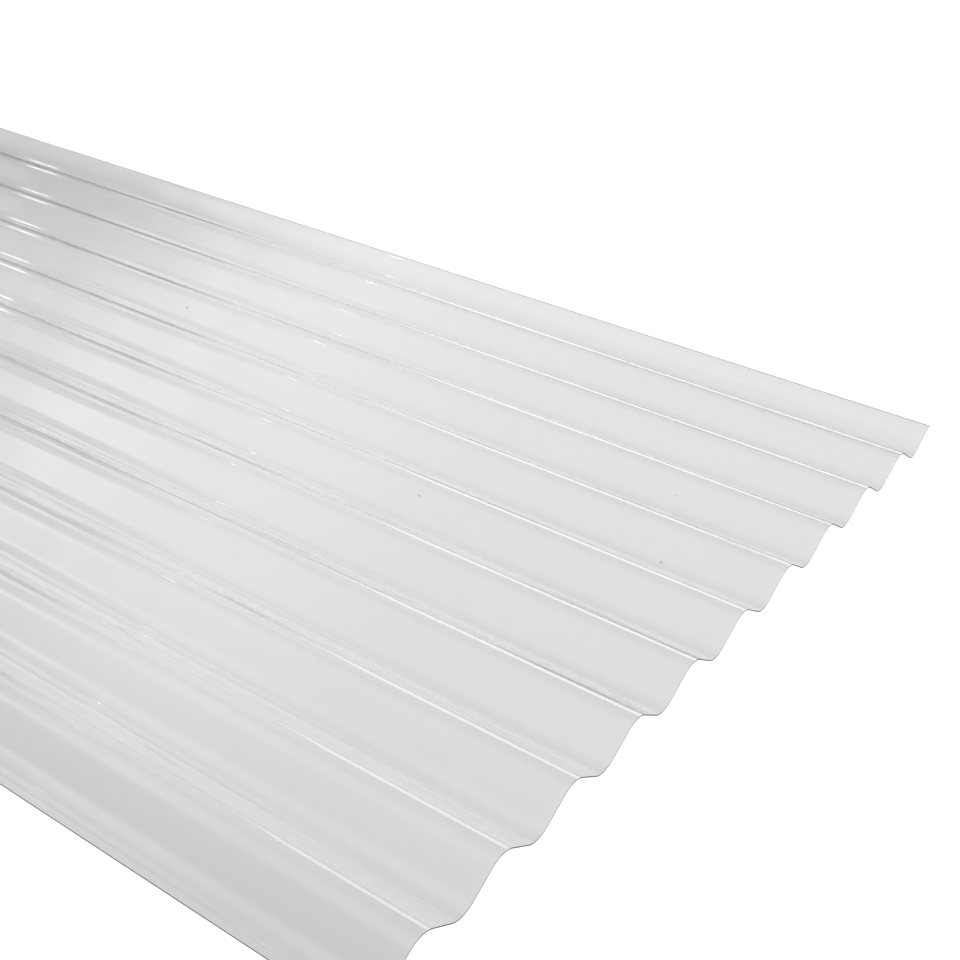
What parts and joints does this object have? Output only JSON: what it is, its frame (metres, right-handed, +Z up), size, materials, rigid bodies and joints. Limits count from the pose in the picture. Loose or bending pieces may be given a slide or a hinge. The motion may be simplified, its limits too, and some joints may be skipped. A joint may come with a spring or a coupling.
{
  "type": "corrugated polycarbonate sheet",
  "caption": "Thin clear corrugated roofing sheet with round waves running along its length, cut square at both ends.",
  "frame": {"origin": "centre of the sheet's box, on the floor that its valleys lie on", "axes": "+X along the waves to one cut end, +Y across the waves to the long edge that ends just short of a crest, +Z up"},
  "size_m": [2, 0.81, 0.0188],
  "materials": {
    "clear_polycarbonate": "clear, glossy, formed smooth on both faces"
  },
  "bodies": {
    "root": {"corrugated_sheet": "clear_polycarbonate"}
  },
  "joints": []
}
